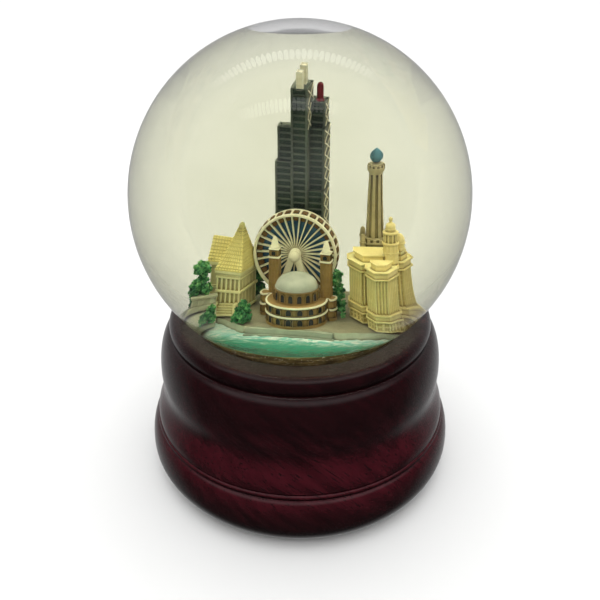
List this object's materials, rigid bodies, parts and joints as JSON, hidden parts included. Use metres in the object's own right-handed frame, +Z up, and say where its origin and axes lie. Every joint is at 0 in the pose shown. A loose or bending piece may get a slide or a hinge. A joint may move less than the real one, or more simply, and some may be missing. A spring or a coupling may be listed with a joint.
{
  "type": "snow globe",
  "caption": "Glass snow globe with a cast resin city in clear liquid, on a turned wooden base that holds a wind-up musical movement with a key.",
  "frame": {"origin": "on the floor under the middle of the base", "axes": "+Z up through the globe, -Y towards the front of the city"},
  "size_m": [0.104, 0.104, 0.141],
  "materials": {
    "glass": "clear polished glass",
    "liquid": "clear, faintly yellow liquid",
    "mahogany": "stained and lacquered, satin gloss",
    "rubber": "matt",
    "felt": "felt",
    "fibreboard": "pressed board, matt",
    "steel": "bright, satin",
    "brass": "satin",
    "zinc": "die cast, matt",
    "plastic": "moulded",
    "ground_paint": "hand-painted cast resin",
    "cream_paint": "hand-painted cast resin",
    "pale_paint": "hand-painted cast resin",
    "brown_paint": "hand-painted cast resin",
    "grey_paint": "hand-painted cast resin",
    "white_paint": "hand-painted cast resin",
    "dark_paint": "hand-painted cast resin",
    "stone_paint": "hand-painted cast resin",
    "teal_paint": "hand-painted cast resin",
    "red_paint": "hand-painted cast resin",
    "leaf_paint": "hand-painted cast resin"
  },
  "bodies": {
    "globe": {"wood_base": "mahogany", "felt_pad_1": "felt", "felt_pad_2": "felt", "felt_pad_3": "felt", "felt_pad_4": "felt", "seat_gasket": "rubber", "glass_globe": "glass", "liquid_fill": "liquid", "rubber_stopper": "rubber", "resin_ground": "ground_paint", "museum_hall": "pale_paint", "museum_wing": "pale_paint", "domed_hall": "brown_paint", "hall_dome": "grey_paint", "hall_tower_left": "brown_paint", "hall_tower_right": "brown_paint", "observation_wheel": "white_paint", "wheel_frame": "white_paint", "stepped_tower": "dark_paint", "mast_front": "white_paint", "mast_back": "white_paint", "red_finial": "red_paint", "stone_tower": "stone_paint", "stone_tower_cap": "teal_paint", "cream_block": "cream_paint", "cupola_large": "cream_paint", "cupola_small": "cream_paint", "tree_left": "leaf_paint", "bush_front_left": "leaf_paint", "bush_front": "leaf_paint", "bush_behind_hall": "leaf_paint", "bush_right": "leaf_paint", "bottom_cover": "fibreboard", "cover_screw_1": "steel", "cover_screw_2": "steel", "cover_screw_3": "steel", "movement_bedplate": "zinc", "movement_screw_1": "steel", "movement_screw_2": "steel", "spring_housing": "brass", "cylinder_post": "zinc", "train_plate": "zinc", "train_post": "zinc", "governor_bracket": "zinc", "comb_block": "zinc", "comb": "steel", "comb_screw_1": "steel", "comb_screw_2": "steel"},
    "winder": {"winding_arbor": "steel", "drive_gear": "brass", "winding_key": "steel"},
    "cylinder": {"cylinder_arbor": "steel", "music_cylinder": "brass", "cylinder_wheel": "brass"},
    "train": {"train_arbor": "steel", "worm_wheel": "brass"},
    "governor": {"governor_worm": "steel", "air_fan": "plastic"}
  },
  "joints": [
    {"name": "key_turn", "type": "hinge", "parent": "globe", "child": "winder", "pos_m": [0, 0, 0.0145], "axis": [0, 0, 1], "range_deg": [0, 1530]},
    {"name": "cylinder_turn", "type": "hinge", "parent": "globe", "child": "cylinder", "pos_m": [0.0193, 0, 0.03085], "axis": [1, 0, 0], "range_deg": [0, 3065]},
    {"name": "train_turn", "type": "hinge", "parent": "globe", "child": "train", "pos_m": [0.0222, -0.0115, 0.03085], "axis": [1, 0, 0], "range_deg": [-8680, 0]},
    {"name": "governor_turn", "type": "hinge", "parent": "globe", "child": "governor", "pos_m": [0.01995, -0.0172, 0.03085], "axis": [0, 0, 1], "range_deg": [-138900, 0]}
  ],
  "couplings": [
    {"joint": "cylinder_turn", "follows": "key_turn", "ratio": 2},
    {"joint": "train_turn", "follows": "key_turn", "ratio": -5.6667},
    {"joint": "governor_turn", "follows": "key_turn", "ratio": -90.667}
  ]
}
